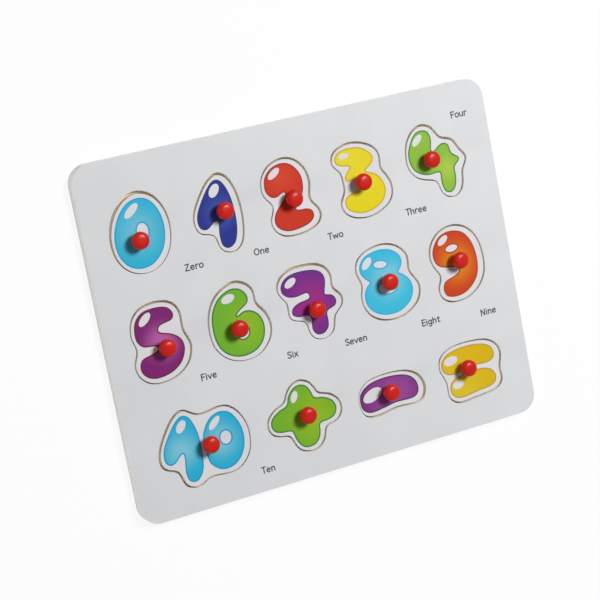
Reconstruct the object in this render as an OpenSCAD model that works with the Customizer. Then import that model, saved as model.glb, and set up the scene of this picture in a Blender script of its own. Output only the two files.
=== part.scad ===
/* [Board] */
// Length of the board, along its rows of tiles
board_w = 290; // [275:1:320]
// Width of the board, across its rows of tiles
board_h = 230; // [215:1:255]
// Radius of the board's corners
corner_r = 12.5; // [4:0.5:20]
// Thickness of the backing sheet that the tiles rest on
back_t = 3; // [2:0.5:6]
// Thickness of the wood that the top sheet and the tiles are sawn from
sheet_t = 4.8; // [3.2:0.2:8]
// Thickness of the printed paper on the top sheet and on the tiles
paper_t = 0.2; // [0.1:0.05:0.4]
// Thickness of the coloured ink of a numeral
ink_t = 0.1; // [0.05:0.05:0.2]

/* [Tiles] */
// Height of a numeral's tile, which sets the size of every outline
figure_h = 50; // [42:1:52]
// Width of the saw cut round each tile
kerf = 1.25; // [1:0.05:1.6]

/* [Pegs] */
// Height of a peg above its tile
peg_h = 10; // [9:0.5:14]
// Height of a peg's head, from its underside to its top
head_h = 6; // [5:0.2:7]
// Diameter of a peg's head
head_d = 11.2; // [9.6:0.2:13]
// Radius of the rounding under the rim of a head
rim_r = 1.8; // [0.8:0.1:2]
// Diameter of the neck under a head
neck_d = 5; // [4.6:0.2:6]
// Diameter of the foot that a neck flares to on its tile
foot_d = 6.4; // [6.2:0.2:8.2]
// Diameter of the stem that is glued into the tile
stem_d = 4; // [3:0.2:4.8]
// Gap left for glue all round a stem in its hole
glue_gap = 0.05; // [0.02:0.01:0.1]
// Wood left clear under the end of a stem
stem_rest = 0.8; // [0.4:0.1:1.5]

/* [Hidden] */
// Straight steps in each stretch of a traced outline, in a board corner, in an oval and in a peg's arcs
span_steps = 6;
corner_steps = 12;
oval_steps = 32;
arc_steps = 8;
dome_steps = 14;
// How square the dome of a head is: 2 is an ellipse and more is flatter on top
dome_power = 3.2;
// Overrun of a drill through the faces that it cuts
overrun = 1;
$fn = 48;

// Heights of the faces above the underside of the board
sheet_z = back_t;
paper_z = back_t + sheet_t;
face_z = back_t + sheet_t + paper_t;
peg_z = face_z + ink_t;
stem_l = sheet_t + paper_t + ink_t - stem_rest;

// Colours of the wood, the paper, the pegs and the inks
birch = [0.86, 0.75, 0.58];
white = [0.93, 0.93, 0.93];
peg_red = [0.80, 0.08, 0.05];
cyan = [0.16, 0.67, 0.86];
navy = [0.16, 0.17, 0.56];
scarlet = [0.80, 0.20, 0.13];
yellow = [0.93, 0.84, 0.10];
green = [0.46, 0.72, 0.18];
purple = [0.48, 0.14, 0.49];
violet = [0.48, 0.17, 0.56];
orange = [0.84, 0.33, 0.10];
amber = [0.92, 0.71, 0.08];

// Every outline below runs clockwise through points in hundredths of figure_h, counted from the tile's
// centre. A cut is the line that the saw takes, and an ink outline is the edge of the printed numeral.
zero_cut_shares = [
    [-0.2, 50.7], [19.5, 44], [32.6, 25.7], [36.9, 1.7], [31.7, -24.7], [16.4, -43.5], [-4.7, -50],
    [-25, -43.6], [-38.8, -26], [-42.1, -0.3], [-35.1, 23.9], [-19.8, 42.6]
];
zero_ink_shares = [
    [3.9, 44.2], [18.6, 36.6], [27.7, 18.6], [29.1, -2.9], [22.5, -24.1], [7.6, -38.9],
    [-10.4, -42.4], [-26.4, -35.6], [-36.3, -19.4], [-37.1, 2.5], [-28.3, 25], [-13.4, 40.4]
];
one_cut_shares = [
    [7.8, 50.3], [19.9, 44.3], [28.1, 28], [31.8, 6.7], [31.5, -17.5], [26.6, -38.6], [16.2, -49.1],
    [3.4, -48.9], [-5.1, -41.2], [-10.3, -25.2], [-26.3, -19], [-32.5, -8.7], [-31.3, 7],
    [-19.9, 27], [-5.6, 43.9]
];
one_ink_shares = [
    [6.4, 44], [14.8, 37.4], [21.1, 20.4], [23.5, -2.5], [22.1, -22.7], [16.4, -38.4], [6.2, -43.7],
    [-1.4, -38.3], [-2.8, -24.7], [-1.2, -9.5], [-5.6, -7.5], [-18.1, -15], [-27.2, -9.8],
    [-27.2, 5], [-17, 23.3], [-3.5, 39.8]
];
two_cut_shares = [
    [-1.9, 50.6], [14.3, 45.3], [25.5, 31.7], [29.1, 14], [25.9, -6.8], [35.1, -22.2],
    [36.2, -32.8], [28.3, -42.4], [8.8, -48.4], [-13.6, -48.2], [-27.6, -39.8], [-32.7, -25.9],
    [-26.7, -7.8], [-35.1, 6.4], [-38.1, 17.1], [-34.2, 33.4], [-21, 46.2]
];
two_ink_shares = [
    [-3.6, 45.1], [9.9, 39.6], [18.9, 26], [20, 10.9], [15.3, -2.9], [5, -16.6], [19.9, -19.1],
    [26.7, -23.7], [26.6, -32.4], [15.9, -39.5], [-6.1, -42.6], [-20.3, -38.4], [-27.4, -28.7],
    [-24.1, -15.7], [-7.9, 1.7], [-8.1, 7.8], [-19.5, 3.7], [-27.7, 6.2], [-33, 15.7],
    [-30.6, 30.8], [-19.4, 41.7]
];
three_cut_shares = [
    [-10.6, 50], [7, 47.2], [21.8, 39.5], [29, 28], [28.8, 10.2], [35.1, -1.6], [39.5, -12.9],
    [38.7, -26.7], [30.7, -38], [13.3, -46.7], [-3.5, -49.2], [-20.7, -45.7], [-32.2, -37],
    [-35.6, -24.6], [-28.5, -9.9], [-27.9, 1.3], [-29.8, 14.8], [-38.6, 26.9], [-37.2, 38.3],
    [-27.1, 46.7]
];
three_ink_shares = [
    [-10.7, 44.4], [3.5, 42.2], [14.6, 35.4], [20.3, 26.5], [16.5, 17.9], [7.3, 11.4], [8.9, 8.9],
    [19.8, 4.2], [28.1, -5.8], [30.6, -19.4], [26.1, -30], [16.8, -37.5], [3.8, -41.8],
    [-9.8, -42.1], [-23.1, -37.1], [-29.5, -30.3], [-29.5, -21.9], [-24.2, -15.7], [-10.6, -12],
    [-6.1, -4.6], [-10.3, 1.7], [-22.2, 2.2], [-24, 7.4], [-20.7, 13.4], [-15.3, 20.3],
    [-27.4, 23.6], [-33.8, 28.7], [-33, 37.1], [-24.5, 42.9]
];
four_cut_shares = [
    [-16.6, 51.3], [-2.8, 47.3], [6.9, 34.1], [12.5, 29.6], [26.2, 24.3], [35, 10.4], [42.7, -2.7],
    [34.9, -18.6], [32.4, -33.7], [27.4, -44.4], [18.5, -50.1], [7.1, -48.2], [-0.6, -40.2],
    [-6.5, -25.2], [-23.8, -19.3], [-35.1, -12.9], [-43.1, -1], [-44.4, 14.1], [-40.1, 32.2],
    [-30, 45.5]
];
four_ink_shares = [
    [-17.7, 45.2], [-7.2, 42.3], [-3.4, 31.6], [-5.6, 17.5], [-1.4, 15.6], [7.1, 21.2],
    [13.7, 22.7], [20.2, 19.1], [23.4, 7.6], [32.1, 0.7], [32.1, -4.6], [24.4, -12.1],
    [24.1, -24.5], [20.8, -37.4], [14, -43.2], [5.8, -41.3], [2, -33], [1.3, -25.1], [0.5, -14.6],
    [-14.5, -14.6], [-25.5, -11.6], [-34.9, -4.9], [-39.9, 6.2], [-40, 18.7], [-34.8, 31.3],
    [-27.2, 41.5]
];
five_cut_shares = [
    [-0.4, 50.2], [19.7, 46], [29.8, 32.5], [30.6, 8.6], [36.6, -10.6], [32.9, -27.9],
    [21.1, -41.3], [2.3, -49.4], [-19.9, -49.6], [-35.3, -39.2], [-40.2, -22.8], [-34.1, -3.9],
    [-37.9, 14.7], [-33.7, 33.9], [-20.8, 46.6]
];
five_ink_shares = [
    [-1.1, 44.2], [14.6, 41.3], [21.7, 32.5], [18.4, 24.3], [2.2, 20.3], [-0.2, 12.9], [15.6, 6.7],
    [26.2, -2.5], [28.2, -15.6], [20.8, -30.8], [5.8, -40.7], [-13.6, -43.7], [-27.4, -39],
    [-33.8, -28.1], [-29.3, -15.9], [-11.3, -11.1], [-6.3, -7], [-9.6, -3.3], [-25.1, -0.5],
    [-32.5, 10.9], [-30, 30.2], [-18.6, 41.7]
];
six_cut_shares = [
    [2.2, 49.9], [16.6, 45.1], [25.5, 34.2], [27.1, 17.6], [37.5, 1.6], [41.5, -15.2], [37, -31.9],
    [23.3, -45.8], [7.1, -51.1], [-11.7, -49.5], [-28, -40.3], [-38.6, -25.1], [-41.8, -5],
    [-39, 15.4], [-30, 33], [-14.9, 45.3]
];
six_ink_shares = [
    [-1.5, 43.1], [10.4, 39.4], [17.2, 29.5], [15.3, 20.5], [2.7, 12.6], [-1.4, 7.3], [9.3, 11.4],
    [20.8, 9.1], [29.6, 0.5], [33.1, -12.8], [29.6, -27.9], [20.9, -38.3], [8.6, -43.8],
    [-6.6, -44.4], [-20.5, -39.3], [-30.5, -29.7], [-35.8, -16.5], [-36.9, 1.4], [-33.9, 17.3],
    [-26.3, 30.6], [-15.1, 39.4]
];
seven_cut_shares = [
    [-4, 48.3], [15.5, 46.1], [28, 38.9], [33.5, 27.7], [33.7, 11.7], [43, -1.2], [42.4, -12.9],
    [32.2, -22.9], [29, -28], [23.8, -43.7], [11.9, -50.9], [-1.1, -48.9], [-8.4, -40.5],
    [-12.8, -24.4], [-27.5, -18.3], [-33, -11.2], [-33.5, 5.1], [-41.5, 18.6], [-42.7, 28.5],
    [-36.8, 39.2], [-22.9, 47]
];
seven_ink_shares = [
    [-2.7, 42.4], [12.9, 39.9], [22, 34.1], [25.2, 24.3], [21.9, 10.1], [22, 5.6], [31.1, 2.5],
    [35.4, -4.6], [32.3, -11.9], [20.4, -17], [19.4, -29.4], [17.4, -37.6], [10.2, -43.5],
    [0.6, -42.8], [-4.6, -34.8], [-3.9, -20.5], [-7.3, -16], [-20.8, -14.7], [-28.1, -10.1],
    [-26.8, -2.3], [-17.3, 3], [-3.4, 5.2], [-0.7, 8.9], [-4.2, 13.2], [-18.5, 11.5], [-30, 13.7],
    [-37.1, 20.3], [-37.2, 29.5], [-30.3, 37.7], [-18.3, 42]
];
eight_cut_shares = [
    [0.4, 49.3], [19.7, 43.4], [32.5, 28.7], [32.3, 10.5], [34, 3.6], [43.1, -14.3], [39.5, -31.8],
    [25.9, -44], [6.9, -50.5], [-13.5, -49.4], [-30.9, -40.3], [-40.1, -26.4], [-41.9, -12.1],
    [-38.6, 4], [-43.4, 23], [-37.4, 38], [-21.7, 46.6]
];
eight_ink_shares = [
    [-3, 43.5], [11.2, 40], [21.8, 31.2], [24.5, 22.3], [21.9, 14.6], [17.6, 8.2], [24.5, 3.2],
    [32.2, -6.8], [33.7, -19.5], [28.1, -31.3], [18.5, -39], [7.3, -43.2], [-7.4, -43.5],
    [-20, -40], [-30.7, -32.4], [-36.6, -21.8], [-36.8, -10.2], [-32.1, -0.9], [-26.6, 4.5],
    [-33.1, 11], [-37.8, 19.8], [-36.4, 30], [-28, 38.7], [-16.3, 42.4]
];
nine_cut_shares = [
    [-1, 50.6], [16.9, 45.9], [29.6, 34], [37, 16.2], [38.5, -7.8], [34.1, -25.6], [22.1, -40.1],
    [4.7, -49], [-15.6, -50.3], [-30.2, -42.7], [-34.8, -29.8], [-29.5, -12.3], [-37.3, 3.6],
    [-40, 17.4], [-34.9, 33.2], [-21, 46.2]
];
nine_ink_shares = [
    [-5.3, 44.3], [11.4, 40.2], [21.5, 30], [27.4, 15.2], [29.3, -3.3], [26.3, -20], [18.2, -32],
    [5.5, -40.8], [-9.1, -43.9], [-23.2, -40.8], [-28, -31.3], [-23.4, -20.7], [-7.2, -15.4],
    [-0.7, -10.6], [-4.5, -5.3], [-24.7, -0.8], [-33.3, 6.8], [-35.4, 19.3], [-30.4, 31.2],
    [-20.7, 40.7]
];
ten_cut_shares = [
    [-19.8, 50.3], [-4.7, 41.8], [6, 39.9], [29.5, 42.6], [43.5, 38.6], [54.6, 26.6], [61.7, 8.5],
    [61.6, -11.8], [56.2, -27.3], [44.5, -39.3], [28.3, -44.3], [1.3, -42.8], [-13.7, -48.7],
    [-24, -49.6], [-34, -43.1], [-41.2, -25.5], [-56, -17.8], [-61.6, -7.8], [-59.3, 8.1],
    [-49.2, 26.7], [-34, 45.1]
];
ten_ink_one_shares = [
    [-22.6, 44.3], [-13.2, 38.5], [-7, 22], [-5.2, 6.2], [-6, -19.1], [-9.8, -33.3], [-18.5, -42.3],
    [-28.5, -39.9], [-31.8, -28.4], [-29.7, -9], [-32.1, -3.6], [-42.7, -12.4], [-50.7, -13.5],
    [-56.3, -6.3], [-54.5, 8.1], [-44.6, 24.8], [-33, 38.8]
];
ten_ink_zero_shares = [
    [27, 36.7], [40.2, 32.7], [49.6, 19.6], [54, 2.5], [51.9, -15.1], [43.8, -29.3], [31.3, -37.1],
    [16.2, -36.8], [4.1, -27.5], [0.3, -15.4], [-1, 6.5], [3.6, 20.2], [13.7, 32.2]
];
plus_cut_shares = [
    [0.9, 46.5], [12.4, 42.1], [18.8, 34.3], [24.6, 24.5], [40.5, 18], [50.3, 8.5], [52.4, -3.6],
    [47.8, -13.4], [40.3, -18.2], [27.2, -22.1], [21.1, -36.4], [13.4, -44.6], [2.1, -47.9],
    [-10.1, -45], [-18.4, -37.1], [-25.7, -22.2], [-39.6, -18.1], [-48.2, -13.5], [-52.8, -4.5],
    [-51, 6.8], [-41.4, 16.4], [-26, 23.7], [-19.2, 35.3], [-11.1, 43.4]
];
plus_ink_shares = [
    [-0.3, 41.4], [8.9, 37.7], [14, 29.7], [17.8, 20.3], [30.4, 16.9], [41.3, 10.3], [45.5, 0.9],
    [42.5, -8.9], [33.5, -13.7], [19.5, -15.8], [17.4, -25], [14.4, -33.8], [7, -40.6], [-5, -41.7],
    [-13.3, -36.3], [-18.4, -26.8], [-22.3, -15.9], [-35.8, -13.8], [-45.2, -9.8], [-48.8, -1.2],
    [-45.3, 7.8], [-34.4, 15], [-22.8, 19.5], [-18.1, 30.4], [-10.4, 38.6]
];
minus_cut_shares = [
    [-3.7, 25], [24.1, 22], [41.5, 12.2], [48, -3.7], [43.5, -18.4], [30.7, -23.7], [2.5, -22.7],
    [-25.8, -26.4], [-42.7, -22.7], [-49.7, -6.6], [-45.9, 11.2], [-31.1, 22.2]
];
minus_ink_shares = [
    [-6.4, 20.9], [17, 18.7], [31.3, 12.7], [38.9, 2.1], [38.3, -10.5], [28.8, -16.4], [3.8, -16.1],
    [-14, -18.7], [-34.6, -20.4], [-45.6, -12.9], [-47, 1.1], [-42, 10.8], [-28.4, 18.2]
];
equals_cut_shares = [
    [0.2, 40.4], [27.2, 37.1], [41.9, 28], [46.9, 14.2], [42.6, -4.3], [42.5, -22], [30.3, -32.6],
    [-2.8, -36.4], [-26.7, -37.1], [-39.5, -26.1], [-40.7, -5.8], [-47.4, 13.9], [-42.8, 29.7],
    [-26.3, 38.6]
];
equals_ink_top_shares = [
    [0.3, 35.7], [19.8, 33.2], [33.2, 27], [37.9, 16.9], [34.1, 8.3], [21.9, 5.4], [0.5, 6.8],
    [-18.4, 2.9], [-32.9, 2.6], [-41.8, 8.4], [-43.6, 20], [-35.1, 29.9], [-20.6, 34.4]
];
equals_ink_low_shares = [
    [-22.7, -2.6], [-2.5, -0.4], [13.9, 0.5], [28.8, -4.1], [35.1, -13.6], [32.3, -23.1],
    [22.6, -27.5], [3.1, -29.2], [-18.6, -31.8], [-30.7, -28.7], [-36.3, -19.5], [-33.6, -8.5]
];

// Each piece has its name, its ink, the centre of its cut in shares of the board, the lean of the tile to
// one side of its recess in shares of the saw cut, the peg's place, the cut, the ink outlines, and the
// ovals that the ink leaves white. An oval is its centre, its two half lengths and its turn in degrees.
// The peg's place, the outlines and the ovals are in hundredths of figure_h.
piece_shares = [
    ["zero", cyan, [-0.369, 0.287], [0.16, -0.63], [-9, -6.5], zero_cut_shares, [zero_ink_shares],
        [[0.5, 3, 7.5, 10, 0], [-9, 30.5, 12, 5, 38]]],
    ["one", navy, [-0.193, 0.287], [-0.16, -0.43], [6, 4.5], one_cut_shares, [one_ink_shares],
        [[1, 31, 9.5, 6, 50]]],
    ["two", scarlet, [-0.017, 0.287], [-0.27, -0.1], [-0.5, -1.5], two_cut_shares, [two_ink_shares],
        [[-17, 34, 10, 4.5, 33]]],
    ["three", yellow, [0.162, 0.287], [-0.04, -0.21], [-5, -1.5], three_cut_shares, [three_ink_shares],
        [[-20.5, 35.5, 7.5, 3.5, 3]]],
    ["four", green, [0.355, 0.287], [-0.18, -0.29], [-13.5, 6], four_cut_shares, [four_ink_shares],
        [[-24, 33.5, 9.5, 4.5, 40]]],
    ["five", purple, [-0.376, -0.013], [-0.23, -0.25], [2, -7], five_cut_shares, [five_ink_shares],
        [[-16, 32.5, 10.5, 5, 40]]],
    ["six", green, [-0.193, -0.013], [-0.14, -0.52], [-5.5, -7], six_cut_shares, [six_ink_shares],
        [[2.5, -14, 8.5, 9, 0], [-9, 31.5, 9.5, 5.5, 12]]],
    ["seven", violet, [-0.017, -0.013], [-0.09, -0.5], [1.5, -9], seven_cut_shares,
        [seven_ink_shares], [[-23.5, 31, 9, 5, 28]]],
    ["eight", cyan, [0.179, -0.013], [-0.13, 0.03], [-3.5, 0.5], eight_cut_shares, [eight_ink_shares],
        [[-7, 24, 9.5, 4.5, -8], [-2.5, -8, 13, 8, -5], [-26, 29.5, 9.5, 5, 43]]],
    ["nine", orange, [0.362, -0.013], [-0.02, -0.08], [-2.5, 4.5], nine_cut_shares, [nine_ink_shares],
        [[-6, 21, 9, 4.5, 4], [-17, 34, 9, 4.5, 33]]],
    ["ten", cyan, [-0.328, -0.322], [0.29, -0.14], [4, 1], ten_cut_shares,
        [ten_ink_one_shares, ten_ink_zero_shares],
        [[29.5, 2, 7.5, 8.5, 0], [-26.5, 31, 9, 5.5, 50], [18, 24, 10.5, 4.5, 42]]],
    ["plus", green, [-0.083, -0.322], [-0.06, -0.08], [-0.5, 2], plus_cut_shares, [plus_ink_shares],
        [[-10, 27.5, 8, 4.5, 63]]],
    ["minus", purple, [0.138, -0.326], [-0.63, 0.14], [-6, 1.5], minus_cut_shares,
        [minus_ink_shares], [[-28, 2, 15, 8, 20]]],
    ["equals", amber, [0.348, -0.335], [-0.25, 0.1], [-10.5, 8], equals_cut_shares,
        [equals_ink_top_shares, equals_ink_low_shares],
        [[-28.5, 21, 10.5, 6, 8], [-23.5, -13, 8.5, 5.5, 10]]]
];

function name(piece) = piece[0];
function ink_colour(piece) = piece[1];
function cut_place(piece) = [board_w * piece[2].x, board_h * piece[2].y];
function lean(piece) = kerf * piece[3];
function recess_place(piece) = cut_place(piece) - lean(piece) / 2;
function tile_place(piece) = cut_place(piece) + lean(piece) / 2;
function peg_place(piece) = tile_place(piece) + sized(piece[4]);
function cut_shares(piece) = piece[5];
function ink_shares(piece) = piece[6];
function oval_shares(piece) = piece[7];

// A length or a point given in hundredths of figure_h
function sized(hundredths) = figure_h * hundredths / 100;

// One point of a smooth curve between b and c, with a before them and d after them
function between(a, b, c, d, t) =
    (2 * b + (c - a) * t + (2 * a - 5 * b + 4 * c - d) * t * t + (3 * b - 3 * c + d - a) * t * t * t) / 2;

// A closed smooth curve through the points
function smooth(points) = let (n = len(points)) [
    for (i = [0 : n - 1], k = [0 : span_steps - 1])
        between(points[(i + n - 1) % n], points[i], points[(i + 1) % n], points[(i + 2) % n], k / span_steps)
];

// A clockwise outline moved outwards by the distance, or inwards where it is negative
function grown(points, distance) = let (n = len(points)) [
    for (i = [0 : n - 1])
        let (along = points[(i + 1) % n] - points[(i + n - 1) % n])
        points[i] + distance * [-along.y, along.x] / norm(along)
];

// The middle line of the saw cut round a tile
function cut(piece) = smooth(sized(cut_shares(piece)));

function oval(shares) = let (turn = shares[4]) [
    for (k = [0 : oval_steps - 1])
        let (a = 360 * k / oval_steps, x = shares[2] * cos(a), y = shares[3] * sin(a))
        sized([shares[0] + x * cos(turn) - y * sin(turn), shares[1] + x * sin(turn) + y * cos(turn)])
];

// The board's outline, with a quarter circle at each corner
function board_outline() = [
    for (q = [0 : 3], k = [0 : corner_steps])
        let (a = 90 * (q + k / corner_steps), side = [q == 0 || q == 3 ? 1 : -1, q < 2 ? 1 : -1])
        [side.x * (board_w / 2 - corner_r), side.y * (board_h / 2 - corner_r)]
            + corner_r * [cos(a), sin(a)]
];

// Half of a peg's section, from the end of the stem up to the top of the head
function peg_section() = let (
    neck_r = neck_d / 2, foot_r = foot_d / 2, head_r = head_d / 2,
    flare = foot_r - neck_r, under_z = peg_h - head_h, rise = head_h - rim_r
) concat(
    [[0, -stem_l], [stem_d / 2, -stem_l], [stem_d / 2, 0], [foot_r, 0]],
    [for (k = [1 : arc_steps]) let (a = 90 * k / arc_steps)
        [neck_r + flare * (1 - sin(a)), flare * (1 - cos(a))]],
    [for (k = [0 : arc_steps]) let (a = 90 * k / arc_steps)
        [neck_r + flare * (1 - cos(a)), under_z - flare * (1 - sin(a))]],
    [for (k = [0 : arc_steps]) let (a = 90 * k / arc_steps)
        [head_r - rim_r * (1 - sin(a)), under_z + rim_r * (1 - cos(a))]],
    [for (k = [1 : dome_steps - 1]) let (a = 90 * k / dome_steps)
        [head_r * pow(cos(a), 2 / dome_power), under_z + rim_r + rise * pow(sin(a), 2 / dome_power)]],
    [[0, peg_h]]
);

// A sheet with the board's outline, and with a recess sawn through it for every tile if open is true
module sheet(thickness, open) {
    linear_extrude(thickness) difference() {
        polygon(board_outline());
        if (open) for (piece = piece_shares)
            translate(recess_place(piece)) polygon(grown(cut(piece), kerf / 2));
    }
}

// A layer of a tile, drilled for the stem of its peg
module tile_layer(piece, thickness) {
    difference() {
        translate(tile_place(piece)) linear_extrude(thickness) polygon(grown(cut(piece), -kerf / 2));
        stem_hole(piece, thickness);
    }
}

module stem_hole(piece, thickness) {
    translate([peg_place(piece).x, peg_place(piece).y, -overrun])
        cylinder(h = thickness + 2 * overrun, d = stem_d + 2 * glue_gap);
}

module base_board() {
    color(birch) sheet(back_t, false);
}

module frame_board() {
    color(birch) translate([0, 0, sheet_z]) sheet(sheet_t, true);
}

module frame_paper() {
    color(white) translate([0, 0, paper_z]) sheet(paper_t, true);
}

module tile(piece) {
    color(birch) translate([0, 0, sheet_z]) tile_layer(piece, sheet_t);
}

module paper(piece) {
    color(white) translate([0, 0, paper_z]) tile_layer(piece, paper_t);
}

module ink(piece) {
    color(ink_colour(piece)) translate([0, 0, face_z]) difference() {
        translate(tile_place(piece)) linear_extrude(ink_t) difference() {
            for (shares = ink_shares(piece)) polygon(smooth(sized(shares)));
            for (shares = oval_shares(piece)) polygon(oval(shares));
        }
        stem_hole(piece, ink_t);
    }
}

module peg(piece) {
    color(peg_red) translate([peg_place(piece).x, peg_place(piece).y, peg_z])
        rotate_extrude() polygon(peg_section());
}

base_board();
frame_board();
frame_paper();
for (piece = piece_shares) {
    tile(piece);
    paper(piece);
    ink(piece);
    peg(piece);
}
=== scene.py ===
"""Dresses the peg puzzle's frame: plywood, printed papers, inks, number words, pegs, light and camera."""
import math

import bpy
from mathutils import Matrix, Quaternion, Vector
from mathutils.geometry import delaunay_2d_cdt


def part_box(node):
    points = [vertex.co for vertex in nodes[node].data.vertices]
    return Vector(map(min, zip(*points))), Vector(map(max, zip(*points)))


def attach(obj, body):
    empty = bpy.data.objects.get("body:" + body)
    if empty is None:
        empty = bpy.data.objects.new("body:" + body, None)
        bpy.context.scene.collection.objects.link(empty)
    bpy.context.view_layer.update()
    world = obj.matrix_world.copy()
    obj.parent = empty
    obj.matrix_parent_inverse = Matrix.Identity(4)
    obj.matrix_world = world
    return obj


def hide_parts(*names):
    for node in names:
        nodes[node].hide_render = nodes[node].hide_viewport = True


MM = 0.001
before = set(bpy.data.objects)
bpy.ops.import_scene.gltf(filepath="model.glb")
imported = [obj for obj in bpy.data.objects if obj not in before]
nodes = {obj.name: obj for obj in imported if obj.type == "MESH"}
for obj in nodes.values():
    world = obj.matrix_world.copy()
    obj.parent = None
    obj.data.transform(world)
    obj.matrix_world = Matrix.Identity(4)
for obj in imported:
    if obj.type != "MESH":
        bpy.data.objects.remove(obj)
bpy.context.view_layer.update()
scene = bpy.context.scene

# The board's own sizes and the height of its printed face, read from the frame
board_low, board_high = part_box("base_board")
board_w = board_high.x - board_low.x
board_h = board_high.y - board_low.y
face_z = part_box("frame_paper")[1].z

# Where the camera stands, the point it looks at, its roll, its lens and the width of its sensor
CAMERA_AT = Vector((-466.84, 196.78, 1094.13)) * MM
CAMERA_TARGET = Vector((-12.18, -0.05, 8.0)) * MM
CAMERA_ROLL = math.radians(100.535)
LENS = 111.6
SENSOR_W = 36

# The soft main lamp, up and to the right of the board, and the low fill lamp at its left. Each has its
# place, the place it points at, its size in metres, its power, and whether glossy faces reflect it.
LAMPS = {
    "main_lamp": (Vector((0.66, 0.66, 1.68)), Vector((0.75, -0.5, 0)), 0.6, 38.0, True),
    "fill_lamp": (Vector((-1.16, -0.28, 0.14)), Vector((0, 0, 0)), 0.6, 4.8, False),
}

# The room's own weak light and its colour, and the white that is seen behind the object
ROOM_LIGHT = 0.12
ROOM_COLOUR = (0.97, 0.985, 1.0, 1)
BACKDROP = (1, 1, 1, 1)

# The floor: half its width in metres, its height, and how much of it shows as plain white
FLOOR_HALF = 3.0
FLOOR_Z = -0.05 * MM
FLOOR_GLOW = 0.9

# Colours from 0 to 255. The two of a pair are blended by the material's own noise.
WOOD_FLAT = (240, 226, 200), (226, 208, 176)
WOOD_FIGURE = (210, 182, 142)
WOOD_PORES = (176, 144, 106)
OUTER_VENEER = (246, 245, 242), (238, 236, 231)
OUTER_CORE = (244, 243, 239), (235, 233, 227)
# The edges in the recesses and on the tiles: pale as painted light for the light that reaches into the
# narrow gaps, with cores a little browner than the board's outer edges
RECESS_VENEER_PAINTED_LIGHT = (252, 249, 243), (244, 238, 228)
RECESS_CORE_PAINTED_LIGHT = (245, 240, 230), (234, 226, 212)
BOARD_WHITE = (218, 219, 221)
TILE_WHITE = (220, 220, 223)
PEG_REDS = (202, 24, 4), (192, 18, 3)
WORD_GREYS = (34, 34, 40), (60, 60, 66)
FLOOR_WHITES = (245, 245, 245), (241, 241, 242)

# The wood's veneers and how softly a core passes into them, in mm, the share of the board's half size from
# which a cut edge is an outer one, and how far up or down a face has to point to count as flat
BASE_VENEER = 0.7
SHEET_VENEER = 1.0
PLY_BLEND = 0.06
OUTER_SHARE = 0.935
FLAT_NORMAL = 0.7

# How much darker the paper's clouds and its tooth are, and the share of its colour that an ink keeps in its
# grain
CLOUD_DARKER = 4
TOOTH_DARKER = 30
INK_GRAIN = 0.82

# Width of the darker line round an inked numeral
OUTLINE_W = 1.3 * MM

# Each piece's ink: its material slot, the colours of its outline, body and glow, the glows, each with its
# place from the middle of the tile and its reach, and how many counters, the closed holes of a numeral,
# it has. Colours are 0 to 255 and lengths are in mm.
INKS = {
    "zero": ("ink_cyan", (24, 156, 204), (34, 175, 208), (118, 194, 215), [(-1, 1, 21)], 1),
    "one": ("ink_navy", (34, 38, 100), (24, 38, 133), (60, 84, 167), [(2, 1, 15)], 0),
    "two": ("ink_scarlet", (150, 38, 22), (196, 43, 10), (208, 60, 28), [(-4, 13, 14)], 0),
    "three": ("ink_yellow", (202, 166, 30), (223, 207, 4), (225, 212, 40),
              [(-16, 17, 35), (-3, 0, 18)], 0),
    "four": ("ink_green", (60, 124, 52), (136, 184, 56), (170, 196, 70), [(7, -6, 12)], 0),
    "five": ("ink_purple", (104, 26, 42), (117, 20, 104), (190, 99, 172), [(1, 0, 17)], 0),
    "six": ("ink_green", (44, 112, 42), (107, 172, 36), (144, 183, 28), [(4, -3, 20)], 1),
    "seven": ("ink_violet", (76, 42, 100), (105, 33, 129), (160, 34, 125), [(0, 0, 24)], 0),
    "eight": ("ink_cyan", (46, 168, 212), (54, 184, 216), (136, 204, 219), [(0, 1, 19)], 2),
    "nine": ("ink_orange", (160, 62, 28), (197, 59, 11), (220, 142, 7), [(-1, 0, 20)], 1),
    "ten": ("ink_cyan", (28, 148, 194), (36, 171, 207), (131, 200, 215),
            [(-16, 0, 17), (11, 0, 17)], 1),
    "plus": ("ink_green", (60, 116, 54), (108, 170, 35), (146, 182, 25), [(6, -2, 25)], 0),
    "minus": ("ink_purple", (84, 40, 88), (82, 12, 93), (156, 74, 154), [(1, -3, 38)], 0),
    "equals": ("ink_amber", (190, 148, 52), (212, 176, 6), (212, 191, 42),
               [(-19, -15, 38), (-6, -17, 21)], 0),
}

# The number words, each with the place of its middle on the board in mm
WORDS = [
    ("Zero", (-78.3, 38.2)), ("One", (-31.8, 37.1)), ("Two", (20.8, 35.1)), ("Three", (81.3, 38.1)),
    ("Four", (124.7, 93.7)), ("Five", (-83.2, -31.9)), ("Six", (-24.4, -33)), ("Seven", (21.4, -35.1)),
    ("Eight", (77.2, -36.4)), ("Nine", (121, -40.3)), ("Ten", (-56.1, -101.2)),
]
CAPITAL_H = 3.95 * MM
LETTER_STRETCH = 1.12
PEN_W = 0.78 * MM

# How far the words lie above the paper, and each stroke above the one before it, so that no two share a
# plane
WORD_LIFT = 0.02 * MM
STROKE_LIFT = 0.002 * MM

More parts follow.
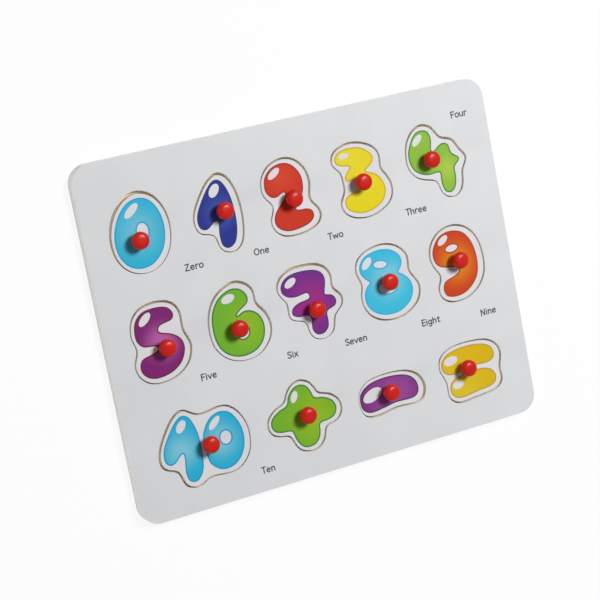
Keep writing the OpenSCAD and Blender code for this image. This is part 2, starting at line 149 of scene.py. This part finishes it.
# A plain round-ended alphabet: each letter has its advance and its strokes, in tenths of a capital's
# height, and is then widened by the stretch. A stroke of two points is straight, a longer one is curved,
# and one that ends where it starts is closed.
LETTERS = {
    "Z": (8.3, [[(0.4, 9.8), (5.9, 10)], [(5.9, 10), (0.2, 0.2)], [(0.2, 0.2), (6.2, 0)]]),
    "O": (9.7, [[(4, 10), (1.4, 8.2), (0.3, 5), (1.3, 1.7), (4, 0), (6.7, 1.7), (7.7, 5), (6.7, 8.3),
                 (4, 10)]]),
    "T": (7.5, [[(0, 9.9), (6.4, 10)], [(3.2, 9.9), (3.1, 0)]]),
    "F": (7.1, [[(0.6, 10), (0.7, 0)], [(0.6, 9.9), (5.6, 10)], [(0.6, 5.3), (4.8, 5.4)]]),
    "S": (7.5, [[(5.6, 8.8), (3.8, 10), (1.6, 9.5), (0.7, 7.6), (1.9, 5.8), (4.2, 4.7), (5.6, 2.9),
                 (4.8, 0.8), (2.6, 0), (0.4, 1.1)]]),
    "E": (7.3, [[(0.7, 10), (0.7, 0)], [(0.7, 9.9), (5.6, 10)], [(0.7, 5.2), (5, 5.3)],
                [(0.7, 0.1), (5.8, 0)]]),
    "N": (9.1, [[(0.6, 0), (0.7, 10)], [(0.7, 10), (6.5, 0)], [(6.5, 0), (6.6, 10)]]),
    "e": (7.5, [[(0.5, 3.4), (5.2, 3.8)], [(5.2, 3.8), (4.7, 5.8), (3, 6.7), (1.1, 5.7), (0.3, 3.3),
                                          (1.1, 0.9), (3.1, 0), (5.1, 1)]]),
    "r": (5.7, [[(0.5, 6.6), (0.6, 0)], [(0.6, 3.8), (1.6, 5.8), (3.2, 6.7), (4.4, 6.3)]]),
    "o": (7.7, [[(3.2, 6.7), (1, 5.6), (0.3, 3.3), (1.1, 0.9), (3.2, 0), (5.3, 1), (6, 3.4), (5.2, 5.7),
                 (3.2, 6.7)]]),
    "n": (7.6, [[(0.5, 6.6), (0.6, 0)], [(0.6, 4.2), (1.6, 5.9), (3.2, 6.7), (4.8, 5.8), (5.2, 3.8),
                                         (5.2, 0)]]),
    "w": (10.1, [[(0.2, 6.6), (2.2, 0.2)], [(2.2, 0.2), (4.3, 5.6)], [(4.3, 5.6), (6.4, 0.2)],
                 [(6.4, 0.2), (8.4, 6.6)]]),
    "h": (7.6, [[(0.5, 10), (0.6, 0)], [(0.6, 4.2), (1.6, 5.9), (3.2, 6.7), (4.8, 5.8), (5.2, 3.8),
                                        (5.2, 0)]]),
    "u": (7.7, [[(0.5, 6.6), (0.6, 2.4), (1.6, 0.4), (3.2, 0), (4.9, 0.9), (5.4, 2.6)],
                [(5.4, 6.6), (5.4, 0)]]),
    "i": (3.5, [[(0.9, 6.6), (0.9, 0)], [(0.9, 9), (0.9, 9.3)]]),
    "v": (7.1, [[(0.1, 6.6), (2.8, 0.1)], [(2.8, 0.1), (5.5, 6.6)]]),
    "x": (7.1, [[(0.3, 6.6), (5.3, 0)], [(5.2, 6.6), (0.1, 0)]]),
    "g": (7.7, [[(3, 6.7), (1, 5.6), (0.3, 3.6), (1, 1.5), (2.9, 0.6), (4.8, 1.6), (5.4, 3.7), (4.8, 5.7),
                 (3, 6.7)], [(5.4, 6.6), (5.4, -0.6), (4.6, -2.5), (2.8, -3.1), (0.8, -2.3)]]),
    "t": (5.7, [[(2, 9), (2, 1.8), (2.9, 0.1), (4.4, 0.4)], [(0.2, 6.6), (4.2, 6.7)]]),
}

# The blank that a word's last letter has after it, in the same tenths
LAST_GAP = 1.7

# How finely forms are made: the distance within which a node's points count as one, how far up a top face
# points, the same distance for a peg's outline, the sides of a turned peg and the angle from which its
# creases stay sharp, and the steps between two points of a curved stroke and round a stroke's end
POINT_GRID = 0.01 * MM
TOP_NORMAL = 0.9
PEG_GRID = 0.002 * MM
PEG_SIDES = 72
PEG_CREASE = math.radians(50)
CURVE_STEPS = 6
END_STEPS = 8


# Materials

def linear(colour):
    """A colour of 0 to 255 as the shader's linear values."""
    shares = [c / 255 for c in colour]
    return tuple(s / 12.92 if s <= 0.04045 else ((s + 0.055) / 1.055) ** 2.4 for s in shares) + (1,)


class Nodes:
    """A node tree under way: short calls for its nodes, with places in mm in the board's frame."""

    def __init__(self, tree):
        self.tree = tree
        self.tree.nodes.clear()

    def add(self, kind, **settings):
        node = self.tree.nodes.new("ShaderNode" + kind)
        for key, value in settings.items():
            setattr(node, key, value)
        return node

    def join(self, source, target):
        self.tree.links.new(source, target)

    def put(self, socket, value):
        """Joins a node's output to the socket, or sets the socket to a plain value."""
        if isinstance(value, bpy.types.NodeSocket):
            self.join(value, socket)
        else:
            socket.default_value = value

    def math(self, operation, a, b=0.0):
        node = self.add("Math", operation=operation)
        self.put(node.inputs[0], a)
        self.put(node.inputs[1], b)
        return node.outputs[0]

    def place(self, scale=(1, 1, 1), offset=(0, 0, 0)):
        """The surface's place in mm, moved by the offset and then stretched by the scale."""
        moved = self.add("VectorMath", operation="MULTIPLY_ADD")
        self.join(self.add("TexCoord").outputs["Object"], moved.inputs[0])
        moved.inputs[1].default_value = [s / MM for s in scale]
        moved.inputs[2].default_value = [s * o for s, o in zip(scale, offset)]
        return moved.outputs[0]

    def axes(self, vector):
        """The vector's own X, Y and Z."""
        node = self.add("SeparateXYZ")
        self.join(vector, node.inputs[0])
        return node.outputs["X"], node.outputs["Y"], node.outputs["Z"]

    def noise(self, size, detail=2.0, stretch=(1, 1, 1), offset=(0, 0, 0)):
        """Noise whose blobs are about size mm across, or that times the stretch along each axis."""
        node = self.add("TexNoise")
        self.join(self.place([1 / (size * s) for s in stretch], offset), node.inputs["Vector"])
        node.inputs["Scale"].default_value = 1.0
        node.inputs["Detail"].default_value = detail
        return node.outputs["Fac"]

    def span(self, value, low, high, to_low=0.0, to_high=1.0, smooth=False):
        """The value from low to high mapped to the other range, and held at its ends."""
        node = self.add("MapRange", interpolation_type="SMOOTHSTEP" if smooth else "LINEAR")
        self.put(node.inputs["Value"], value)
        ends = {"From Min": low, "From Max": high, "To Min": to_low, "To Max": to_high}
        for key, number in ends.items():
            node.inputs[key].default_value = number
        return node.outputs["Result"]

    def mix(self, share, a, b):
        node = self.add("Mix", data_type="RGBA")
        self.put(node.inputs["Factor"], share)
        self.put(node.inputs[6], a)
        self.put(node.inputs[7], b)
        return node.outputs[2]

    def blend(self, share, colours):
        """The first of the two colours where the share is 0, and the second where it is 1."""
        return self.mix(share, linear(colours[0]), linear(colours[1]))

    def mix_shaders(self, share, a, b):
        node = self.add("MixShader")
        for socket, value in zip(node.inputs, (share, a, b)):
            self.join(value, socket)
        return node.outputs["Shader"]

    def seen_ray(self):
        """1 for what the camera sees straight or in a mirror or glass, and 0 for what lights the object."""
        path = self.add("LightPath")
        seen = path.outputs["Is Camera Ray"]
        for key in ("Is Glossy Ray", "Is Transmission Ray"):
            seen = self.math("MAXIMUM", seen, path.outputs[key])
        return seen


class Material(Nodes):
    """A material under way, with its shader and its output."""

    def __init__(self, name):
        self.data = bpy.data.materials.new(name)
        self.data.use_nodes = True
        super().__init__(self.data.node_tree)
        self.output = self.add("OutputMaterial")
        self.shader = self.add("BsdfPrincipled")
        self.join(self.shader.outputs["BSDF"], self.output.inputs["Surface"])

    def bump(self, height, depth):
        """Relief of that depth in mm, where the height goes from 0 to 1."""
        node = self.add("Bump")
        node.inputs["Distance"].default_value = depth * MM
        self.join(height, node.inputs["Height"])
        self.join(node.outputs["Normal"], self.shader.inputs["Normal"])

    def finish(self, colour, roughness, **sockets):
        self.put(self.shader.inputs["Base Color"], colour)
        self.put(self.shader.inputs["Roughness"], roughness)
        for key, value in sockets.items():
            self.put(self.shader.inputs[key.replace("_", " ")], value)
        return self.data


def plywood(name, node, veneer):
    """Plywood for a sheet: grain on its flat faces, and on its cut edges a core between two veneers of the
    given thickness in mm. The edges in the recesses and on the tiles are painted paler than round the
    board, as painted light for the light that reaches into the narrow gaps, and their cores are a little
    browner."""
    bottom, top = (corner.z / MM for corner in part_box(node))
    m = Material(name)
    grain = m.noise(1.2, detail=5, stretch=(26, 1, 1))
    figure = m.noise(9, detail=3, stretch=(14, 1, 1), offset=(40, 7, 0))
    pores = m.noise(0.35, stretch=(22, 1, 1))
    flat = m.blend(m.span(grain, 0.35, 0.68), WOOD_FLAT)
    flat = m.mix(m.span(figure, 0.4, 0.7, 0, 0.45), flat, linear(WOOD_FIGURE))
    flat = m.mix(m.span(pores, 0.62, 0.75, 0, 0.35), flat, linear(WOOD_PORES))

    x, y, z = m.axes(m.place())
    off_middle = m.math("ABSOLUTE", m.math("SUBTRACT", z, (bottom + top) / 2))
    core_half = (top - bottom) / 2 - veneer
    core = m.span(off_middle, core_half - PLY_BLEND, core_half + PLY_BLEND, 1.0, 0.0, smooth=True)
    fibres = m.noise(0.5, detail=4, stretch=(7, 7, 0.5))
    frayed = m.span(fibres, 0.3, 0.72)
    outer = m.mix(core, m.blend(frayed, OUTER_VENEER), m.blend(frayed, OUTER_CORE))
    # Painted light: the edges in the recesses and on the tiles take paler colours standing in for light in
    # the gaps
    recess_edge_painted_light = m.mix(core, m.blend(frayed, RECESS_VENEER_PAINTED_LIGHT), m.blend(frayed, RECESS_CORE_PAINTED_LIGHT))
    across = m.math("DIVIDE", m.math("ABSOLUTE", x), board_w / 2 / MM)
    along = m.math("DIVIDE", m.math("ABSOLUTE", y), board_h / 2 / MM)
    border = m.math("GREATER_THAN", m.math("MAXIMUM", across, along), OUTER_SHARE)
    edge = m.mix(border, recess_edge_painted_light, outer)

    _, _, rise = m.axes(m.add("NewGeometry").outputs["True Normal"])
    level = m.math("GREATER_THAN", m.math("ABSOLUTE", rise), FLAT_NORMAL)
    m.bump(m.mix(level, fibres, grain), depth=0.06)
    return m.finish(m.mix(level, edge, flat), m.span(fibres, 0.3, 0.7, 0.58, 0.78))


def printed_paper(name, colour):
    """White print under a satin varnish, with a faint cloudiness and the paper's fine tooth."""
    m = Material(name)
    cloud = m.noise(28, detail=3)
    tooth = m.noise(0.22, detail=3)
    wear = m.noise(5, detail=4, offset=(11, 5, 0))
    tone = m.blend(m.span(cloud, 0.3, 0.7), (colour, [c - CLOUD_DARKER for c in colour]))
    tone = m.mix(m.span(tooth, 0.35, 0.8, 0, 0.12), tone, linear([c - TOOTH_DARKER for c in colour]))
    m.bump(m.math("ADD", tooth, m.math("MULTIPLY", cloud, 6.0)), depth=0.012)
    return m.finish(tone, m.span(wear, 0.3, 0.7, 0.38, 0.5), Specular_IOR_Level=0.25)


def printed_ink(name, look, middle):
    """Ink with a soft glow inside a darker outline. The outline follows the mesh's own rim values."""
    outline, body, glow, glows = look[1:5]
    m = Material(name)
    lit = 0.0
    for x, y, reach in glows:
        offset = (-middle.x / MM - x, -middle.y / MM - y, 0)
        gap = m.add("VectorMath", operation="LENGTH")
        m.join(m.place((1 / reach, 1 / reach, 0), offset), gap.inputs[0])
        lit = m.math("MAXIMUM", lit, m.span(gap.outputs["Value"], 1.0, 0.0, smooth=True))
    soft = m.math("MULTIPLY", lit, m.span(m.noise(7, detail=3), 0.2, 0.8, 0.8, 1.0))
    tone = m.blend(soft, (body, glow))
    grain = m.noise(0.3)
    tone = m.mix(m.span(grain, 0.3, 0.75, 0, 0.1), tone, linear([INK_GRAIN * c for c in body]))
    rim = m.add("Attribute", attribute_name="rim").outputs["Fac"]
    tone = m.mix(m.span(rim, 0.05, 0.6, smooth=True), tone, linear(outline))
    m.bump(grain, depth=0.01)
    return m.finish(tone, m.span(m.noise(4, detail=3), 0.3, 0.7, 0.42, 0.54), Specular_IOR_Level=0.2)


def peg_plastic():
    """Glossy moulded red plastic with a slight waviness and finger-worn gloss."""
    m = Material("peg_red")
    cloud = m.noise(4)
    rub = m.noise(1.1, detail=4, offset=(3, 9, 2))
    m.bump(m.math("ADD", cloud, m.math("MULTIPLY", rub, 0.15)), depth=0.05)
    tone = m.blend(m.span(cloud, 0.3, 0.7), PEG_REDS)
    return m.finish(tone, m.span(rub, 0.3, 0.75, 0.27, 0.33), Specular_IOR_Level=0.23)


def word_ink():
    """Dark printing ink with fine pale specks."""
    m = Material("word_ink")
    specks = m.noise(0.18)
    m.bump(specks, depth=0.008)
    return m.finish(m.blend(m.span(specks, 0.45, 0.75), WORD_GREYS), m.span(specks, 0.3, 0.7, 0.4, 0.55))


def floor_white():
    """A white floor that shows as plain white paper with the object's soft shadow on it."""
    m = Material("floor_white")
    m.finish(m.blend(m.noise(60, detail=3), FLOOR_WHITES), roughness=0.9, Specular_IOR_Level=0.1)
    share = m.math("MULTIPLY", m.seen_ray(), FLOOR_GLOW)
    shown = m.mix_shaders(share, m.shader.outputs["BSDF"], m.add("Emission").outputs["Emission"])
    m.join(shown, m.output.inputs["Surface"])
    return m.data


# Meshes

def new_piece(name, points, faces, material, smooth=False):
    mesh = bpy.data.meshes.new(name)
    mesh.from_pydata([tuple(p) for p in points], [], faces)
    mesh.validate()
    mesh.update()
    if smooth:
        mesh.shade_smooth()
    else:
        mesh.shade_flat()
    mesh.materials.append(material)
    piece = bpy.data.objects.new(name, mesh)
    scene.collection.objects.link(piece)
    return piece


def paint(node, material):
    """Gives a frame node that material in place of its own."""
    data = nodes[node].data
    data.materials.clear()
    data.materials.append(material)


def top_loops(node):
    """The border loops of a frame node's top face as lists of 2-D points, with the face on their left."""
    mesh = nodes[node].data
    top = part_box(node)[1].z

    def spot(index):
        at = mesh.vertices[index].co
        return round(at.x / POINT_GRID), round(at.y / POINT_GRID)

    steps = set()
    for face in mesh.polygons:
        if face.normal.z > TOP_NORMAL and abs(face.center.z - top) < POINT_GRID:
            ring = [spot(i) for i in face.vertices]
            steps.update(zip(ring, ring[1:] + ring[:1]))
    following = {a: b for a, b in steps if (b, a) not in steps}
    loops = []
    while following:
        start, at = following.popitem()
        loop = [start]
        while at != start:
            loop.append(at)
            at = following.pop(at)
        loops.append([Vector(p) * POINT_GRID for p in loop])
    return loops


def finer(loop):
    """The loop with a point on the curve between every two of its points."""
    n = len(loop)
    points = []
    for i in range(n):
        a, b, c, d = loop[i - 1], loop[i], loop[(i + 1) % n], loop[(i + 2) % n]
        points += [b, (9 * (b + c) - a - d) / 16]
    return points


def inset(loop, width):
    """The loop moved to its left by the width."""
    n = len(loop)
    moved = []
    for i in range(n):
        along = (loop[(i + 1) % n] - loop[i - 1]).normalized()
        moved.append(loop[i] + width * Vector((-along.y, along.x)))
    return moved


def middle_of(loop):
    return sum(loop, Vector((0, 0))) / len(loop)


def area_of(loop):
    """The loop's area, which is negative for a hole."""
    return sum(a.cross(b) for a, b in zip(loop, loop[1:] + loop[:1])) / 2


def holds(loop, other):
    """Whether the loop's bounding box holds the middle of the other one."""
    at = middle_of(other)
    return all(min(p[axis] for p in loop) < at[axis] < max(p[axis] for p in loop) for axis in (0, 1))


def winding(loop, at):
    """How many times the loop goes round the point counterclockwise."""
    turns = 0
    for a, b in zip(loop, loop[1:] + loop[:1]):
        if (a.y <= at.y) != (b.y <= at.y):
            side = (b - a).cross(at - a)
            if (side > 0) == (b.y > a.y):
                turns += 1 if b.y > a.y else -1
    return turns


def fill(border, gaps):
    """Triangles that fill the border loop around its gaps: their 2-D points, and the points of each."""
    spots, links = [], []
    for loop in [border] + gaps:
        first, n = len(spots), len(loop)
        spots += loop
        links += [(first + i, first + (i + 1) % n) for i in range(n)]
    whole_hull, nearness = 0, 1e-9
    spots, _, triangles, _, _, _ = delaunay_2d_cdt(spots, links, [], whole_hull, nearness)
    kept = []
    for triangle in triangles:
        at = middle_of([spots[i] for i in triangle])
        if winding(border, at) > 0 and not any(winding(gap, at) < 0 for gap in gaps):
            kept.append(tuple(triangle))
    return spots, kept


def ink_piece(name, look):
    """One numeral's ink: a thin raised skin whose rim values are 1 on its outline and 0 inside."""
    node = "ink_" + name
    low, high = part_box(node)
    peg_low, peg_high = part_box("peg_" + name)
    peg = ((peg_low + peg_high) / 2).xy
    tile_low, tile_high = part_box("tile_" + name)
    middle = (tile_low + tile_high) / 2
    loops = top_loops(node)
    outer = [loop for loop in loops if area_of(loop) > 0]
    holes = [loop for loop in loops if area_of(loop) < 0 and (middle_of(loop) - peg).length > MM]
    holes.sort(key=lambda loop: middle_of(loop).y - middle_of(loop).x)
    counters, highlights = holes[: look[-1]], holes[look[-1]:]

    points, faces, rims = [], [], []

    def ring(loop, z, rim):
        """Adds the loop's points at that height, and returns their numbers."""
        first = len(points)
        points.extend((p.x, p.y, z) for p in loop)
        rims.extend([rim] * len(loop))
        return list(range(first, len(points)))

    def band(a, b):
        """Adds the faces between two rings."""
        n = len(a)
        faces.extend((a[i], a[(i + 1) % n], b[(i + 1) % n], b[i]) for i in range(n))

    def edge(loop, outlined):
        """The wall and the outline along a loop. Returns the loop that the fill inside them starts from."""
        loop = finer(loop)
        border = ring(loop, high.z, outlined)
        band(ring(loop, low.z, outlined), border)
        if not outlined:
            return loop
        within = inset(loop, OUTLINE_W)
        band(border, ring(within, high.z, 0.0))
        return within

    for shape in outer:
        border = edge(shape, 1.0)
        gaps = [edge(loop, 1.0) for loop in counters if holds(shape, loop)]
        gaps += [edge(loop, 0.0) for loop in highlights if holds(shape, loop)]
        spots, triangles = fill(border, gaps)
        first = len(points)
        ring(spots, high.z, 0.0)
        faces.extend(tuple(first + i for i in triangle) for triangle in triangles)
    piece = new_piece("print_" + name, points, faces, printed_ink("ink_" + name, look, middle))
    values = piece.data.attributes.new("rim", "FLOAT", "POINT")
    values.data.foreach_set("value", rims)
    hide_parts(node)
    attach(piece, "piece_" + name)


def peg_piece(name, material):
    """One peg turned round its axis, with the same outline as the frame's peg."""
    node = "peg_" + name
    low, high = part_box(node)
    axis = ((low + high) / 2).xy
    outline = sorted({(round(v.co.z / PEG_GRID), round((v.co.xy - axis).length / PEG_GRID))
                      for v in nodes[node].data.vertices})
    points, faces, rings = [], [], []
    for height, radius in outline:
        z, r = height * PEG_GRID, radius * PEG_GRID
        count = PEG_SIDES if radius else 1
        rings.append(list(range(len(points), len(points) + count)))
        for k in range(count):
            turn = 2 * math.pi * k / PEG_SIDES
            points.append((axis.x + r * math.cos(turn), axis.y + r * math.sin(turn), z))
    for a, b in zip(rings, rings[1:]):
        for k in range(PEG_SIDES):
            corners = [a[k % len(a)], a[(k + 1) % len(a)], b[(k + 1) % len(b)], b[k % len(b)]]
            faces.append(tuple(dict.fromkeys(corners)))
    piece = new_piece("knob_" + name, points, faces, material, smooth=True)
    piece.data.set_sharp_from_angle(angle=PEG_CREASE)
    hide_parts(node)
    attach(piece, "piece_" + name)


def curve(points):
    """A smooth line through the points, or the straight line between two."""
    if len(points) == 2:
        return points
    closed = points[0] == points[-1]
    before = points[-2] if closed else points[0]
    after = points[1] if closed else points[-1]
    line = []
    for a, b, c, d in zip([before] + points[:-2], points[:-1], points[1:], points[2:] + [after]):
        for k in range(CURVE_STEPS):
            t = k / CURVE_STEPS
            line.append((2 * b + (c - a) * t + (2 * a - 5 * b + 4 * c - d) * t ** 2
                         + (3 * b - 3 * c + d - a) * t ** 3) / 2)
    return line + [points[-1]]


def pen_stroke(line, closed, z):
    """The pen's flat stroke along a line, with round ends where it is open: its points and its faces."""
    points, faces = [], []
    for i, p in enumerate(line):
        before = line[i - 1] if i else (line[-2] if closed else p)
        after = line[i + 1] if i + 1 < len(line) else (line[1] if closed else p)
        along = (after - before).normalized()
        side = PEN_W / 2 * Vector((-along.y, along.x))
        points += [(*(p + side), z), (*(p - side), z)]
    for a in range(0, len(points) - 2, 2):
        faces.append((a, a + 1, a + 3, a + 2))
    if not closed:
        for end, other in ((line[0], line[1]), (line[-1], line[-2])):
            out = (end - other).normalized()
            start = math.atan2(out.y, out.x) - math.pi / 2
            faces.append(tuple(range(len(points), len(points) + END_STEPS + 1)))
            for k in range(END_STEPS + 1):
                turn = start + math.pi * k / END_STEPS
                points.append((end.x + PEN_W / 2 * math.cos(turn), end.y + PEN_W / 2 * math.sin(turn), z))
    return points, faces


def word_piece(word, middle, material):
    """One number word in round-ended strokes, a skin of ink on the board's paper."""
    unit = CAPITAL_H / 10 * Vector((LETTER_STRETCH, 1))
    width = (sum(LETTERS[c][0] for c in word) - LAST_GAP) * unit.x
    x, y = middle[0] * MM - width / 2, middle[1] * MM - CAPITAL_H / 2
    z = face_z + WORD_LIFT
    points, faces = [], []
    for letter in word:
        advance, strokes = LETTERS[letter]
        for stroke in strokes:
            z += STROKE_LIFT
            line = curve([Vector((x, y)) + unit * Vector(p) for p in stroke])
            stroke_points, stroke_faces = pen_stroke(line, stroke[0] == stroke[-1], z)
            faces += [tuple(len(points) + i for i in face) for face in stroke_faces]
            points += stroke_points
        x += advance * unit.x
    piece = new_piece("word_" + word.lower(), points, faces, material)
    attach(piece, "board")


# The board and its pieces

def dress_puzzle():
    paint("base_board", plywood("base_plywood", "base_board", BASE_VENEER))
    sheet_wood = plywood("sheet_plywood", "frame_board", SHEET_VENEER)
    paint("frame_board", sheet_wood)
    paint("frame_paper", printed_paper("board_print", BOARD_WHITE))
    tile_print = printed_paper("tile_print", TILE_WHITE)
    peg_red = peg_plastic()
    for name, look in INKS.items():
        paint("tile_" + name, sheet_wood)
        paint("paper_" + name, tile_print)
        ink_piece(name, look)
        peg_piece(name, peg_red)
    dark = word_ink()
    for word, middle in WORDS:
        word_piece(word, middle, dark)


# Floor, light and camera

def lay_floor():
    corners = [(x * FLOOR_HALF, y * FLOOR_HALF, FLOOR_Z) for x, y in ((-1, -1), (1, -1), (1, 1), (-1, 1))]
    floor = new_piece("floor", corners, [(0, 1, 2, 3)], floor_white())


def light_room():
    """The room's weak light, and the plain white that is seen in its place."""
    world = bpy.data.worlds.new("room")
    world.use_nodes = True
    scene.world = world
    sky = Nodes(world.node_tree)
    room = sky.add("Background")
    room.inputs["Color"].default_value = ROOM_COLOUR
    room.inputs["Strength"].default_value = ROOM_LIGHT
    backdrop = sky.add("Background")
    backdrop.inputs["Color"].default_value = BACKDROP
    shown = sky.mix_shaders(sky.seen_ray(), room.outputs[0], backdrop.outputs[0])
    sky.join(shown, sky.add("OutputWorld").inputs["Surface"])


def hang_lamp(name, at, aim, size, power, reflected):
    data = bpy.data.lights.new(name, "AREA")
    data.shape = "SQUARE"
    data.size = size
    data.energy = power
    lamp = bpy.data.objects.new(name, data)
    lamp.visible_glossy = reflected
    lamp.location = at
    lamp.rotation_euler = (aim - at).to_track_quat("-Z", "Y").to_euler()
    scene.collection.objects.link(lamp)


def place_camera():
    data = bpy.data.cameras.new("camera")
    data.sensor_width = SENSOR_W
    data.lens = LENS
    camera = bpy.data.objects.new("camera", data)
    camera.location = CAMERA_AT
    camera.rotation_mode = "QUATERNION"
    looking = (CAMERA_TARGET - CAMERA_AT).to_track_quat("-Z", "Y")
    camera.rotation_quaternion = looking @ Quaternion((0, 0, 1), CAMERA_ROLL)
    scene.collection.objects.link(camera)
    scene.camera = camera


dress_puzzle()
lay_floor()
light_room()
for lamp_name, lamp_values in LAMPS.items():
    hang_lamp(lamp_name, *lamp_values)
place_camera()
scene.view_settings.view_transform = "Standard"
